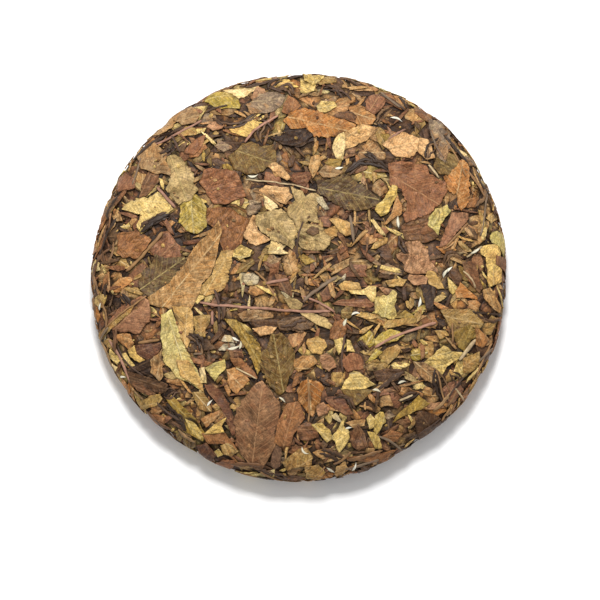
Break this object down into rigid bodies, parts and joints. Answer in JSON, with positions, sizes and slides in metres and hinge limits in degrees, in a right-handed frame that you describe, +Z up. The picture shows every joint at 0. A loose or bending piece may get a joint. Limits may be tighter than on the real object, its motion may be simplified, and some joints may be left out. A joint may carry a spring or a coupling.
{
  "type": "pressed white tea cake",
  "caption": "Domed round cake of pressed white tea: whole leaves, torn flakes, stalks and silvery buds in one dry slab with a flat underside.",
  "frame": {"origin": "middle of the flat underside", "axes": "+Z up through the middle of the dome; +Y is the top of the shown face, +X its right"},
  "size_m": [0.2, 0.1998, 0.0294],
  "materials": {
    "tan_leaf": "dry tan tea leaf, matt, with fine veins and crumpled folds",
    "russet_leaf": "dry red-brown tea leaf, matt with a faint waxy sheen",
    "straw_leaf": "dry straw-yellow tea leaf, matt and papery",
    "olive_leaf": "dry olive-green tea leaf, matt with a faint sheen",
    "dark_leaf": "dark rolled tea leaf, crinkled, with a low sheen on its ridges",
    "stalk": "dry tea stalk, finely ribbed and matt",
    "silver_bud": "downy silver-white leaf bud",
    "crumb": "packed broken tea between the leaves, rough and matt"
  },
  "bodies": {
    "root": {"tea_cake": "tan_leaf"}
  },
  "joints": []
}
